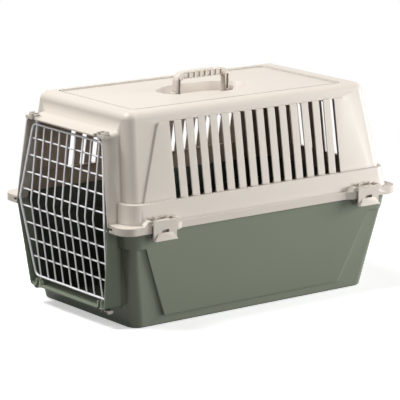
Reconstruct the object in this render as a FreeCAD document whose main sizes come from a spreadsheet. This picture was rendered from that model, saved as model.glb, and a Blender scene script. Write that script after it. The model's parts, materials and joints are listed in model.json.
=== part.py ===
"""Plastic pet carrier: two moulded shells, a bent wire door, side clips, door catches, folding handle.

Frame: +Z up, the door faces -Y, X runs across the carrier, and the origin is under its middle.
All sizes are in millimetres.
"""

import FreeCAD, Part
import math
import os
import re
from dataclasses import dataclass

import Sketcher
from FreeCAD import Placement, Rotation, Vector

# Driving dimensions: name, value and meaning. Heights are above the floor, and a "front" or "rear" is a
# distance from the middle towards the door or away from it.
SIZES = [
    ("parting_height", 181.0, "height of the plane where the shells meet"),
    ("seam_half_width", 167.0, "both shells: half width at the parting plane"),
    ("seam_front", 281.0, "both shells: front wall at the parting plane"),
    ("seam_rear", 291.0, "both shells: rear wall at the parting plane"),
    ("wall", 2.2, "both shells: wall thickness"),
    ("floor_thickness", 3.0, "tub: thickness of the floor"),
    ("band_height", 38.0, "tub: height of the rim band"),
    ("band_lean", 5.6, "tub: how far the band's sides lean in"),
    ("band_lean_front", 8.0, "tub: how far the band's front leans in"),
    ("band_lean_rear", 5.0, "tub: how far the band's rear leans in"),
    ("band_step", 4.5, "tub: how far the band stands proud of the wall"),
    ("band_corner", 24.0, "tub: upright corners of the band"),
    ("tub_draft", 23.5, "tub: how far each side wall leans in below the band"),
    ("tub_draft_front", 21.0, "tub: how far the front wall leans in below the band"),
    ("tub_draft_rear", 17.5, "tub: how far the rear wall leans in below the band"),
    ("tub_corner", 22.0, "tub: upright corners, at the band"),
    ("base_corner", 12.0, "tub: upright corners, at the base"),
    ("base_radius", 5.0, "tub: edge round the base"),
    ("belt_height", 37.0, "lid: height of the belt"),
    ("belt_lean", 6.0, "lid: how far the belt's sides and rear lean in"),
    ("belt_lean_front", 4.0, "lid: how far the belt's front leans in"),
    ("belt_step", 8.0, "lid: width of the ledge on the belt"),
    ("belt_step_rear", 5.0, "lid: width of the ledge at the rear"),
    ("belt_corner", 24.0, "lid: upright corners of the belt"),
    ("roof_height", 365.0, "lid: height of the roof rim"),
    ("lid_draft", 25.0, "lid: how far each side wall leans in above the belt"),
    ("lid_draft_front", 9.0, "lid: how far the front wall leans in above the belt"),
    ("lid_draft_rear", 23.0, "lid: how far the rear wall leans in above the belt"),
    ("lid_corner", 18.0, "lid: upright corners"),
    ("roof_radius", 15.0, "lid: edge round the roof"),
    ("recess_depth", 2.0, "lid: depth of the roof panel below its rim"),
    ("recess_margin", 24.0, "lid: rim beside the roof panel, at the sides"),
    ("recess_margin_front", 30.0, "lid: rim before the roof panel"),
    ("recess_margin_rear", 39.0, "lid: rim behind the roof panel"),
    ("recess_radius", 7.0, "lid: corners of the roof panel"),
    ("groove_land", 1.2, "lid: lip between the roof panel and the groove round it"),
    ("groove_width", 3.0, "lid: width of the groove round the roof panel"),
    ("groove_depth", 2.0, "lid: depth of the groove round the roof panel"),
    ("flange_reach", 11.0, "lid flange: how far it stands out at corners and clips"),
    ("flange_reach_waist", 4.0, "lid flange: how far it stands out between the clips"),
    ("flange_reach_rear", 10.8, "lid flange: how far it stands out at the rear"),
    ("ear_setback", 1.0, "lid flange: front edge behind the door surround's rim"),
    ("flange_corner", 24.0, "lid flange: corner radius"),
    ("flange_thickness", 4.0, "lid flange: thickness"),
    ("waist_margin", 19.5, "lid flange: wide stretch past each clip"),
    ("waist_ramp", 12.0, "lid flange: length of each slanted end of the narrow stretch"),
    ("skirt_drop", 9.0, "lid skirt: how far it hangs below the parting plane"),
    ("skirt_thickness", 3.0, "lid skirt: thickness"),
    ("skirt_clearance", 0.5, "gap between skirt and tub rim"),
    ("rim_thickness", 5.0, "tub rim: thickness of the ledge under the flange"),
    ("ear_slot_width", 8.0, "lid flange: slot in the front of each ear, across"),
    ("ear_slot_height", 4.5, "lid flange: slot in the front of each ear, height"),
    ("ear_slot_offset", 6.5, "lid flange: from the door surround to the middle of the ear slot"),
    ("ear_width", 36.0, "door surround: how far its sides lie in from the shells' at the parting plane"),
    ("brow_narrowing", 22.5, "door surround: how much narrower each side is at the top"),
    ("sill_narrowing", 24.0, "door surround: how much narrower each side is at the sill"),
    ("brow_drop", 41.0, "door surround: top face below the roof rim"),
    ("sill_drop", 148.0, "door surround: underside of the sill below the parting plane"),
    ("snout_rise", 13.0, "door surround: how far the top climbs towards the lid"),
    ("snout_flare", 1.5, "door surround: how far each side spreads towards the shell"),
    ("snout_reach", 18.8, "door surround: how far its rim stands out of the shells at the parting plane"),
    ("snout_overlap", 19.0, "door surround: how far it runs back behind the lid's front"),
    ("snout_wall", 2.5, "door surround: wall thickness"),
    ("snout_radius", 8.0, "door surround: corners at top and sill"),
    ("rim_setback_top", 5.0, "door surround: rim at the top, behind its foremost line"),
    ("rim_setback_sill", 12.0, "door surround: rim at the sill, behind its foremost line"),
    ("panel_proud", 2.5, "lid side panel: how far it stands proud"),
    ("panel_drop", 21.0, "lid side panel: top edge below the roof rim"),
    ("panel_low_inset_front", 33.0, "lid side panel: front end at the belt, behind the belt's front"),
    ("panel_low_inset_rear", 37.0, "lid side panel: rear end at the belt, before the belt's rear"),
    ("panel_top_inset_front", 59.0, "lid side panel: front end at its top, behind the roof's front"),
    ("panel_top_inset_rear", 52.0, "lid side panel: rear end at its top, before the roof's rear"),
    ("panel_corner", 9.0, "lid side panel: upper corners"),
    ("tub_panel_proud", 3.5, "tub side panel: how far it stands proud at the base"),
    ("tub_panel_bottom", 18.0, "tub side panel: bottom edge"),
    ("tub_panel_top_inset_front", 25.0, "tub side panel: front end at the band, behind the wall's front"),
    ("tub_panel_top_inset_rear", 38.0, "tub side panel: rear end at the band, before the wall's rear"),
    ("tub_panel_low_inset_front", 57.5, "tub side panel: front end at its bottom, behind the base's front"),
    ("tub_panel_low_inset_rear", 66.0, "tub side panel: rear end at its bottom, before the base's rear"),
    ("tub_panel_corner", 5.0, "tub side panel: lower corners"),
    ("vent_count", 15, "vents: slots in each side"),
    ("vent_margin", 28.0, "vents: from the panel's ends to the outermost slots"),
    ("vent_width", 10.0, "vents: width of a slot"),
    ("rear_vent_count", 8, "vents: slots in the rear"),
    ("rear_vent_margin", 48.4, "vents: from the roof's sides in to the outermost slots of the rear"),
    ("bowl_margin", 35.8, "finger bowl: length past each leg of the handle"),
    ("bowl_offset", 2.8, "finger bowl: its middle behind the handle's"),
    ("bowl_half_width", 49.0, "finger bowl: half width"),
    ("bowl_draft", 9.0, "finger bowl: how far its wall leans in"),
    ("leg_clearance", 1.0, "handle: gap between its feet and the bowl's floor"),
    ("handle_middle", -6.0, "handle: middle, along the carrier"),
    ("handle_length", 114.5, "handle: length over the legs"),
    ("handle_width", 13.0, "handle: thickness across the carrier"),
    ("handle_rise", 41.0, "handle: top of the grip above the pivot"),
    ("handle_sink", 8.0, "handle: pivot below the roof panel"),
    ("handle_crown", 620.0, "handle: radius of the arched top"),
    ("handle_corner", 16.0, "handle: rounding of the shoulders"),
    ("handle_inner_corner", 6.0, "handle: rounding inside the shoulders"),
    ("grip_depth", 13.0, "handle: depth of the grip"),
    ("leg_width", 9.0, "handle: width of a leg"),
    ("trunnion_radius", 2.5, "handle: radius of its trunnions"),
    ("trunnion_length", 6.0, "handle: length of its trunnions"),
    ("pivot_block_width", 11.0, "handle: width of each pivot block in the bowl"),
    ("pivot_block_length", 9.0, "handle: length of each pivot block in the bowl"),
    ("pivot_block_wall", 3.0, "handle: pivot block above the trunnion"),
    ("handle_gap", 0.4, "handle: gap between leg and pivot block"),
    ("running_clearance", 0.08, "radial clearance of pins in their bores"),
    ("rib_count", 7, "handle: recesses in each side of the grip"),
    ("rib_pitch", 11.7, "handle: spacing of the recesses"),
    ("rib_width", 8.0, "handle: width of a recess"),
    ("rib_height", 8.5, "handle: height of a recess"),
    ("rib_drop", 1.0, "handle: recesses below the middle of the grip"),
    ("rib_depth", 1.4, "handle: depth of a recess"),
    ("leg_groove_width", 4.2, "handle: width of the groove in each leg"),
    ("leg_groove_depth", 3.6, "handle: depth of the groove in each leg"),
    ("clip_inset_front", 60.0, "clips: front pair, behind the shells' front"),
    ("clip_inset_rear", 66.0, "clips: rear pair, before the shells' rear"),
    ("clip_length", 47.0, "clips: length"),
    ("clip_axis_inset", 2.0, "clips: pivot in from the flange's edge"),
    ("clip_axis_height", 5.0, "clips: height of the pivot above the flange"),
    ("clip_face", 3.5, "clips: from the pivot out to the plate's back"),
    ("clip_plate", 3.5, "clips: plate thickness"),
    ("clip_above", 3.0, "clips: plate above the pivot"),
    ("clip_barrel", 3.4, "clips: radius of the hinge barrel"),
    ("clip_pin", 1.7, "clips: radius of the moulded trunnions"),
    ("clip_lug_place", 12.0, "clips: distance of each hinge lug from the clip's middle"),
    ("clip_lug_thickness", 3.0, "clips: thickness of a hinge lug"),
    ("clip_lug_gap", 0.4, "clips: gap beside a hinge lug"),
    ("clip_lug_radius", 2.9, "clips: lug past the pivot, outwards and upwards"),
    ("clip_lug_bevel", 1.7, "clips: bevel on the lug's outer upper corner"),
    ("clip_fin_place", 4.3, "clips: fin behind the pivot"),
    ("clip_fin_height", 9.5, "clips: tip of the fin above the pivot"),
    ("clip_hook_reach", 4.5, "clips: how far the hook goes in past the pivot"),
    ("clip_hook_half_length", 18.0, "clips: half length of the hook"),
    ("clip_hook_gap", 0.35, "clips: gap between hook and ledge"),
    ("clip_hook_thickness", 4.65, "clips: thickness of the hook"),
    ("clip_slot_length", 14.4, "clips: length of the slot"),
    ("clip_slot_height", 4.6, "clips: height of the slot"),
    ("clip_slot_rise", 15.0, "clips: slot above the plate's foot"),
    ("clip_lip", 5.0, "clips: how far the finger lip stands out"),
    ("clip_lip_height", 12.0, "clips: height of the finger lip"),
    ("clip_lip_taper", 9.0, "clips: how much each end of the lip draws in at its top"),
    ("clip_lip_edge", 0.4, "clips: thickness of the lip's upper edge and its inset from the plate's ends"),
    ("shoulder_gap", 0.8, "clips: gap between clip and the raised shoulders beside it"),
    ("shoulder_height", 8.5, "clips: height of the shoulders above the flange"),
    ("shoulder_length", 6.7, "clips: length of a shoulder's top"),
    ("shoulder_ramp", 7.0, "clips: length of a shoulder's slanted end"),
    ("ledge_depth", 16.0, "clips: underside of the tub ledge below the parting plane"),
    ("ledge_half_length", 24.0, "clips: half length of the ledge at its underside"),
    ("ledge_slant", 9.0, "clips: slant of the ledge's ends"),
    ("door_top_gap", 9.0, "door: top wire below the door surround's top"),
    ("door_sill_gap", 16.0, "door: bottom wire above the underside of the sill"),
    ("door_kink_rise", 5.0, "door: bend above the parting plane"),
    ("door_top_setback", 7.3, "door: top wire behind the rim"),
    ("door_sill_setback", 8.8, "door: bottom wire behind the rim"),
    ("door_top_margin", 9.5, "door: top corners in from the door surround"),
    ("door_kink_margin", 9.5, "door: bend in from the door surround"),
    ("door_sill_margin", 4.0, "door: bottom corners in from the door surround"),
    ("frame_wire", 4.0, "door: diameter of the frame wire"),
    ("grid_wire", 3.0, "door: diameter of the grid wires"),
    ("door_corner", 9.0, "door: bend radius at the corners"),
    ("kink_radius", 14.0, "door: bend radius at the middle bend"),
    ("upright_count", 9, "door: upright wires"),
    ("upright_margin", 9.8, "door: outermost uprights in from the top corners"),
    ("cross_count", 8, "door: cross wires, half of them above the bend"),
    ("cross_top_gap", 25.5, "door: first cross wire below the top wire"),
    ("cross_sill_gap", 33.5, "door: last cross wire above the bottom wire"),
    ("weld_gap", 0.05, "door: gap left at the welds"),
    ("pin_diameter", 4.0, "door pins: diameter"),
    ("pin_clearance", 0.4, "door pins: clearance in slots and catches"),
    ("slot_flare", 1.2, "door pins: how far each slot opens towards its mouth"),
    ("seat_rise", 5.0, "door catches: height of their seat above the surround"),
    ("socket_height", 10.5, "door catches: height of the sill sockets"),
    ("socket_half_width", 7.0, "door catches: half width of the sill sockets"),
    ("catch_travel", 8.0, "door catches: travel"),
    ("catch_prong", 4.0, "door catches: prongs past the pin"),
    ("catch_length", 19.0, "door catches: length"),
    ("catch_width", 10.0, "door catches: width"),
    ("catch_thickness", 2.6, "door catches: plate thickness"),
    ("catch_nub", 5.0, "door catches: length of the thumb nub"),
    ("catch_nub_height", 3.2, "door catches: height of the thumb nub"),
    ("catch_nub_taper", 1.0, "door catches: how far the nub's sides lean in"),
    ("catch_gap", 0.3, "door catches: sliding gap"),
    ("bridge_start", 3.5, "door catches: bridge, distance from the pin"),
    ("bridge_length", 5.0, "door catches: bridge, length"),
    ("bridge_wall", 1.5, "door catches: bridge, thickness"),
]

# Sizes that follow from the driving ones, as expressions over the sheet and over one another.
FITS = {
    "band_bottom": "dim.parting_height - dim.band_height",
    "tub_top_half_width": "dim.seam_half_width - dim.band_lean - dim.band_step",
    "tub_top_front": "dim.seam_front - dim.band_lean_front - dim.band_step",
    "tub_top_rear": "dim.seam_rear - dim.band_lean_rear - dim.band_step",
    "base_half_width": "fit.tub_top_half_width - dim.tub_draft",
    "base_front": "fit.tub_top_front - dim.tub_draft_front",
    "base_rear": "fit.tub_top_rear - dim.tub_draft_rear",
    "belt_top": "dim.parting_height + dim.belt_height",
    "belt_half_width": "dim.seam_half_width - dim.belt_lean",
    "belt_front": "dim.seam_front - dim.belt_lean_front",
    "belt_rear": "dim.seam_rear - dim.belt_lean",
    "lid_half_width": "fit.belt_half_width - dim.belt_step",
    "lid_front": "fit.belt_front - dim.belt_step",
    "lid_rear": "fit.belt_rear - dim.belt_step_rear",
    "roof_half_width": "fit.lid_half_width - dim.lid_draft",
    "roof_front": "fit.lid_front - dim.lid_draft_front",
    "roof_rear": "fit.lid_rear - dim.lid_draft_rear",
    "roof_panel": "dim.roof_height - dim.recess_depth",
    "recess_half_width": "fit.roof_half_width - dim.recess_margin",
    "recess_front": "fit.roof_front - dim.recess_margin_front",
    "recess_rear": "fit.roof_rear - dim.recess_margin_rear",
    "rim_mid_front": "dim.seam_front + dim.snout_reach",
    "rim_top_front": "fit.rim_mid_front - dim.rim_setback_top",
    "rim_bottom_front": "fit.rim_mid_front - dim.rim_setback_sill",
    "flange_half_width": "dim.seam_half_width + dim.flange_reach",
    "flange_waist": "dim.seam_half_width + dim.flange_reach_waist",
    "flange_front": "fit.rim_mid_front - dim.ear_setback",
    "flange_rear": "dim.seam_rear + dim.flange_reach_rear",
    "flange_top": "dim.parting_height + dim.flange_thickness",
    "skirt_bottom": "dim.parting_height - dim.skirt_drop",
    "snout_mid_half_width": "dim.seam_half_width - dim.ear_width",
    "snout_top_half_width": "fit.snout_mid_half_width - dim.brow_narrowing",
    "snout_bottom_half_width": "fit.snout_mid_half_width - dim.sill_narrowing",
    "snout_top": "dim.roof_height - dim.brow_drop",
    "snout_bottom": "dim.parting_height - dim.sill_drop",
    "snout_root": "fit.roof_front - dim.snout_overlap",
    "ear_slot_place": "fit.snout_mid_half_width + dim.ear_slot_offset",
    "panel_top": "dim.roof_height - dim.panel_drop",
    "panel_top_front": "fit.roof_front - dim.panel_top_inset_front",
    "panel_top_rear": "fit.roof_rear - dim.panel_top_inset_rear",
    "vent_pitch": "(fit.panel_top_front + fit.panel_top_rear - 2 * dim.vent_margin) / (dim.vent_count - 1)",
    "rear_vent_pitch": "2 * (fit.roof_half_width - dim.rear_vent_margin) / (dim.rear_vent_count - 1)",
    "handle_axis_height": "fit.roof_panel - dim.handle_sink",
    "handle_top": "fit.handle_axis_height + dim.handle_rise",
    "bowl_floor": "fit.handle_axis_height - dim.handle_width / 2 - dim.leg_clearance",
    "bowl_half_length": "dim.handle_length / 2 + dim.bowl_margin",
    "clip_front": "dim.seam_front - dim.clip_inset_front",
    "clip_rear": "dim.seam_rear - dim.clip_inset_rear",
    "clip_axis_reach": "fit.flange_half_width - dim.clip_axis_inset",
    "clip_axis_level": "fit.flange_top + dim.clip_axis_height",
    "ledge_bottom": "dim.parting_height - dim.ledge_depth",
    "hook_top": "fit.ledge_bottom - fit.clip_axis_level - dim.clip_hook_gap",
    "clip_below": "dim.clip_hook_thickness - fit.hook_top",
    "waist_front": "fit.clip_front - dim.clip_length / 2 - dim.waist_margin",
    "waist_rear": "fit.clip_rear - dim.clip_length / 2 - dim.waist_margin",
    "door_top": "fit.snout_top - dim.door_top_gap",
    "door_bottom": "fit.snout_bottom + dim.door_sill_gap",
    "door_kink": "dim.parting_height + dim.door_kink_rise",
    "door_top_front": "fit.rim_top_front - dim.door_top_setback",
    "door_kink_front": "fit.rim_mid_front",
    "door_bottom_front": "fit.rim_bottom_front - dim.door_sill_setback",
    "door_top_half_width": "fit.snout_top_half_width - dim.door_top_margin",
    "door_kink_half_width": "fit.snout_mid_half_width - dim.door_kink_margin",
    "door_bottom_half_width": "fit.snout_bottom_half_width - dim.door_sill_margin",
    "pin_place": "fit.door_top_half_width - dim.upright_margin",
    "upright_pitch": "2 * fit.pin_place / (dim.upright_count - 1)",
    "cross_half": "(dim.cross_count - 1) / 2",
    "cross_pitch_above": "(fit.door_top - fit.door_kink - dim.cross_top_gap) / fit.cross_half",
    "cross_pitch_below": "(fit.door_kink - fit.door_bottom - dim.cross_sill_gap) / fit.cross_half",
    "pin_radius": "dim.pin_diameter / 2",
    "slot_radius": "fit.pin_radius + dim.pin_clearance",
    "top_seat": "fit.snout_top + dim.seat_rise",
    "bottom_seat": "fit.snout_bottom",
}


doc = FreeCAD.newDocument("PetCarrier")
sheet = doc.addObject("Spreadsheet::Sheet", "dim")
for row, (alias, value, meaning) in enumerate(SIZES, start=1):
    sheet.set(f"A{row}", meaning)
    sheet.set(f"B{row}", str(value))
    sheet.setAlias(f"B{row}", alias)
doc.recompute()

# Room that a cutting tool takes past the face it cuts, then coarse and fine slack for telling edges apart.
OVER = 5.0
SLACK = 1.0
NEAR = 0.01
SIDES = {"right": 1, "left": -1}
ENDS = {"front": -1, "rear": 1}


def expand(expression):
    """The same expression over the sheet alone, with every fitted size written out."""
    return re.sub(r"\bfit\.(\w+)", lambda found: f"({expand(FITS[found.group(1)])})", expression)


def size(expression):
    """Value of an expression over the sheet."""
    return float(sheet.evalExpression(expand(expression)))


def bind(item, **expressions):
    """Bind properties of an object to expressions over the sheet."""
    for name, expression in expressions.items():
        item.setExpression(name, expand(expression))


def place(item, x, y, z):
    """Bind the place of an object to three expressions."""
    for axis, expression in zip("xyz", (x, y, z)):
        item.setExpression(f"Placement.Base.{axis}", expand(expression))


def box(name, x, y, z):
    """Box between pairs of expressions."""
    item = doc.addObject("Part::Box", name)
    bind(item, Length=f"({x[1]}) - ({x[0]})", Width=f"({y[1]}) - ({y[0]})", Height=f"({z[1]}) - ({z[0]})")
    place(item, x[0], y[0], z[0])
    return item


def frustum(name, low, high):
    """Tapered block between two rectangles, each a height, half width, front and rear."""
    item = doc.addObject("Part::Wedge", name)
    item.Placement = Placement(Vector(), Rotation(Vector(1, 0, 0), 90))
    bind(item, Ymin=low[0], Xmin=f"-({low[1]})", Xmax=low[1], Zmin=f"-({low[3]})", Zmax=low[2])
    bind(item, Ymax=high[0], X2min=f"-({high[1]})", X2max=high[1], Z2min=f"-({high[3]})", Z2max=high[2])
    return item


def cylinder(name, axis, centre, radius, length):
    """Cylinder that starts at a centre and runs along an axis."""
    item = doc.addObject("Part::Cylinder", name)
    item.Placement = Placement(Vector(), Rotation(Vector(0, 0, 1), axis))
    bind(item, Radius=radius, Height=length)
    place(item, *centre)
    return item


def outline(sketch, corners):
    """Closed polygon whose corners are bound to expressions."""
    points = [Vector(size(x), size(y), 0) for x, y in corners]
    count = len(points)
    for index, point in enumerate(points):
        sketch.addGeometry(Part.LineSegment(point, points[(index + 1) % count]))
    for index in range(count):
        sketch.addConstraint(Sketcher.Constraint("Coincident", index, 2, (index + 1) % count, 1))
    for index, (x, y) in enumerate(corners):
        for kind, expression in (("DistanceX", x), ("DistanceY", y)):
            rule = Sketcher.Constraint(kind, -1, 1, index, 1, size(expression))
            number = sketch.addConstraint(rule)
            sketch.setExpression(f"Constraints[{number}]", expand(expression))


# How a free sketch lies for each extrusion direction.
LIE = {
    "x": (Rotation(Vector(1, 1, 1), 120), Vector(1, 0, 0)),
    "y": (Rotation(Vector(1, 0, 0), 90), Vector(0, 1, 0)),
    "z": (Rotation(), Vector(0, 0, 1)),
}


def section(name, axis, corners, offset):
    """Polygon across an axis, at an offset along it."""
    sketch = doc.addObject("Sketcher::SketchObject", name)
    sketch.Placement = Placement(Vector(), LIE[axis][0])
    outline(sketch, corners)
    sketch.setExpression(f"Placement.Base.{axis}", expand(offset))
    return sketch


def prism(name, axis, corners, low, high):
    """Polygon extruded along an axis between two offsets."""
    item = doc.addObject("Part::Extrusion", name)
    item.Base = section(name + "Outline", axis, corners, low)
    item.DirMode = "Custom"
    item.Dir = LIE[axis][1]
    item.Solid = True
    bind(item, LengthFwd=f"({high}) - ({low})")
    return item


def loft(name, sections):
    """Straight-sided solid through sections."""
    item = doc.addObject("Part::Loft", name)
    item.Sections = sections
    item.Solid = True
    item.Ruled = True
    return item


def fuse(name, *items):
    """Union of several objects."""
    item = doc.addObject("Part::MultiFuse", name)
    item.Shapes = list(items)
    return item


def common(name, *items):
    """What several objects share."""
    item = doc.addObject("Part::MultiCommon", name)
    item.Shapes = list(items)
    return item


def cut(name, base, *tools):
    """An object less several tools."""
    item = doc.addObject("Part::Cut", name)
    item.Base = base
    item.Tool = tools[0] if len(tools) == 1 else fuse(name + "Tools", *tools)
    return item


def edges_where(item, test):
    """Numbers of an object's edges that pass a test on their two ends."""
    doc.recompute()
    found = []
    for number, edge in enumerate(item.Shape.Edges, start=1):
        first, last = edge.Vertexes[0].Point, edge.Vertexes[-1].Point
        if test(first, last):
            found.append(number)
    return found


def rounded(name, base, radius, test):
    """Rounded copy of an object's chosen edges."""
    item = doc.addObject("Part::Fillet", name)
    item.Base = base
    item.Edges = [(number, size(radius), size(radius)) for number in edges_where(base, test)]
    return item


def taper_rounded(name, base, low, high, test):
    """Copy of an object whose chosen upright edges are rounded by a radius that changes with height."""
    item = doc.addObject("Part::Fillet", name)
    item.Base = base
    radii = []
    for number in edges_where(base, test):
        edge = base.Shape.Edges[number - 1]
        climbs = edge.Vertexes[0].Point.z < edge.Vertexes[-1].Point.z
        first, last = (low, high) if climbs else (high, low)
        radii.append((number, size(first), size(last)))
    item.Edges = radii
    return item


def upright(first, last):
    """True for an edge that climbs more than it leans."""
    return abs(first.z - last.z) > max(abs(first.x - last.x), abs(first.y - last.y))


def level_at(height):
    """Test for edges that lie level at a height."""
    level = size(height)
    return lambda first, last: abs(first.z - level) < NEAR and abs(last.z - level) < NEAR


def inset(rectangle, amount):
    """Rectangle of expressions drawn in on all sides, at its own height."""
    height, *sides = rectangle
    return (height, *(f"{side} - {amount}" for side in sides))


# Shell outlines, each a height, half width, front and rear.
BASE = ("0", "fit.base_half_width", "fit.base_front", "fit.base_rear")
TUB_TOP = ("fit.band_bottom", "fit.tub_top_half_width", "fit.tub_top_front", "fit.tub_top_rear")
BAND_LOW = inset(TUB_TOP, "-dim.band_step")
SEAM = ("dim.parting_height", "dim.seam_half_width", "dim.seam_front", "dim.seam_rear")
BELT = ("fit.belt_top", "fit.belt_half_width", "fit.belt_front", "fit.belt_rear")
LID_LOW = ("fit.belt_top", "fit.lid_half_width", "fit.lid_front", "fit.lid_rear")
ROOF = ("dim.roof_height", "fit.roof_half_width", "fit.roof_front", "fit.roof_rear")

# Where the clips of each end stand, along the carrier.
CLIP_MIDDLE = {"front": "(-fit.clip_front)", "rear": "fit.clip_rear"}


def at(rectangle, height):
    """The same outline at another height."""
    return (height, *rectangle[1:])


def pin_front(height):
    """Front distance of the door pins' slightly leaning axis at a height."""
    lean = "(fit.door_top_front - fit.door_bottom_front) / (fit.door_top - fit.door_bottom)"
    return f"(fit.door_top_front + ({height} - fit.door_top) * {lean})"


def flange_outline(amount):
    """Outline of the lid's flange, drawn in by an amount."""
    wide = f"(fit.flange_half_width - {amount})"
    waist = f"(fit.flange_waist - {amount})"
    right = [
        (wide, f"-(fit.flange_front - {amount})"),
        (wide, "-(fit.waist_front + dim.waist_ramp)"),
        (waist, "-fit.waist_front"),
        (waist, "fit.waist_rear"),
        (wide, "fit.waist_rear + dim.waist_ramp"),
        (wide, f"fit.flange_rear - {amount}"),
    ]
    return right + [(f"-{x}", y) for x, y in reversed(right)]


def flange_block(name, amount, low, high):
    """Plate of the flange's outline with round corners."""
    plate = prism(name + "Plate", "z", flange_outline(amount), low, high)
    reach = size("fit.flange_half_width") - size(amount) - NEAR
    front = -(size("fit.flange_front") - size(amount)) + NEAR
    rear = size("fit.flange_rear") - size(amount) - NEAR

    def corner(first, last):
        outer = abs(first.x) > reach and not front < first.y < rear
        return upright(first, last) and outer

    return rounded(name, plate, f"dim.flange_corner - {amount}", corner)


def snout(name, high, top, amount, reach, root):
    """Half of the door surround: the upper half if high, else the sill half, drawn in by an amount."""
    sections = []
    for label, depth, spread, rise in (
        ("Front", reach, "0", "0"),
        ("Rear", root, "dim.snout_flare", "dim.snout_rise" if high else "0"),
    ):
        middle = f"fit.snout_mid_half_width + {spread} - {amount}"
        end = f"{top[0]} + {spread} - {amount}"
        level = f"{top[1]} + {rise} - {amount}" if high else f"{top[1]} + {amount}"
        corners = [
            (f"-({middle})", "dim.parting_height"),
            (middle, "dim.parting_height"),
            (end, level),
            (f"-({end})", level),
        ]
        sections.append(section(name + label, "y", corners, f"-({depth})"))
    body = loft(name + "Loft", sections)
    far = size(f"{top[0]} - {amount}") - SLACK
    middle_height = size("dim.parting_height")

    def lengthwise(first, last):
        runs = abs(first.y - last.y) > abs(first.x - last.x)
        ends = abs(first.z - middle_height) > SLACK and abs(first.x) > far
        return runs and ends

    return rounded(name, body, f"dim.snout_radius - {amount}", lengthwise)


def rim_trim():
    """Everything in front of the surround's folded front rim."""
    far = f"-(fit.rim_mid_front + {OVER * 4})"
    ceiling = "dim.roof_height"
    corners = [
        ("-fit.rim_top_front", ceiling),
        ("-fit.rim_top_front", "fit.snout_top"),
        ("-fit.rim_mid_front", "dim.parting_height"),
        ("-fit.rim_bottom_front", "fit.snout_bottom"),
        ("-fit.rim_bottom_front", "-fit.snout_bottom"),
        (far, "-fit.snout_bottom"),
        (far, ceiling),
    ]
    return prism("RimTrim", "x", corners, "-fit.flange_half_width", "fit.flange_half_width")


@dataclass
class Panel:
    """Raised trapezoid on both side walls of a shell.

    Low and high are the shell's outlines below and above, and proud is the step at each of them. Bottom
    and top are each a height with its front and rear end. The corners at one of them are rounded.
    """

    low: tuple
    high: tuple
    proud: tuple
    bottom: tuple
    top: tuple
    corner: str
    round_top: bool

    def block(self, name, amount="0"):
        """The panels of both sides as one block through the shell, drawn in by an amount."""
        steps = [f"-({proud} - {amount})" for proud in self.proud]
        skin = frustum(name + "Skin", inset(self.low, steps[0]), inset(self.high, steps[1]))
        bottom, top = f"{self.bottom[0]} + {amount}", f"{self.top[0]} - {amount}"
        corners = [
            (f"-({self.bottom[1]} - {amount})", bottom),
            (f"{self.bottom[2]} - {amount}", bottom),
            (f"{self.top[2]} - {amount}", top),
            (f"-({self.top[1]} - {amount})", top),
        ]
        reach = "fit.flange_half_width"
        window = prism(name + "Window", "x", corners, f"-{reach}", reach)
        level = size(top if self.round_top else bottom)

        def end_corner(first, last):
            return abs(first.x - last.x) > NEAR and abs(first.z - level) < NEAR

        window = rounded(name + "Corners", window, f"{self.corner} - {amount}", end_corner)
        return common(name, skin, window)


def pin_slot(name, side, front, low, high):
    """Slot for one door pin, round at its seat and widening towards the front."""
    centre = f"{SIDES[side]} * fit.pin_place"
    mouth = f"(fit.rim_mid_front + {OVER})"
    wide = "(fit.slot_radius + dim.slot_flare)"
    corners = [
        (f"{centre} - fit.slot_radius", f"-{front}"),
        (f"{centre} - {wide}", f"-{mouth}"),
        (f"{centre} + {wide}", f"-{mouth}"),
        (f"{centre} + fit.slot_radius", f"-{front}"),
    ]
    throat = prism(name + "Throat", "z", corners, low, high)
    depth = f"({high}) - ({low})"
    seat_centre = (centre, f"-{front}", low)
    seat = cylinder(name + "Seat", Vector(0, 0, 1), seat_centre, "fit.slot_radius", depth)
    return fuse(name, throat, seat)


def across(side, low, high):
    """Pair of X expressions for a span that starts nearest the middle."""
    if SIDES[side] > 0:
        return (low, high)
    return (f"-({high})", f"-({low})")


def catch_bridge(name, side, front, seat, up):
    """Strap on two posts that keeps a door catch on its seat, above it or below it."""
    half = "(dim.catch_width / 2 + dim.catch_gap)"
    outer = f"({half} + dim.bridge_wall)"
    clear = "(dim.catch_thickness + 2 * dim.catch_gap)"
    near = "fit.pin_place + dim.bridge_start"
    x = across(side, near, f"{near} + dim.bridge_length")
    y = (f"-{front} - {outer}", f"-{front} + {outer}")
    tunnel_y = (f"-{front} - {half}", f"-{front} + {half}")
    root = "dim.snout_wall / 2"
    if up:
        z = (f"{seat} - {root}", f"{seat} + {clear} + dim.bridge_wall")
        tunnel_z = (seat, f"{seat} + {clear}")
    else:
        z = (f"{seat} - {clear} - dim.bridge_wall", f"{seat} + {root}")
        tunnel_z = (f"{seat} - {clear}", seat)
    return box(name + "Block", x, y, z), box(name + "Tunnel", x, tunnel_y, tunnel_z)


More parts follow.
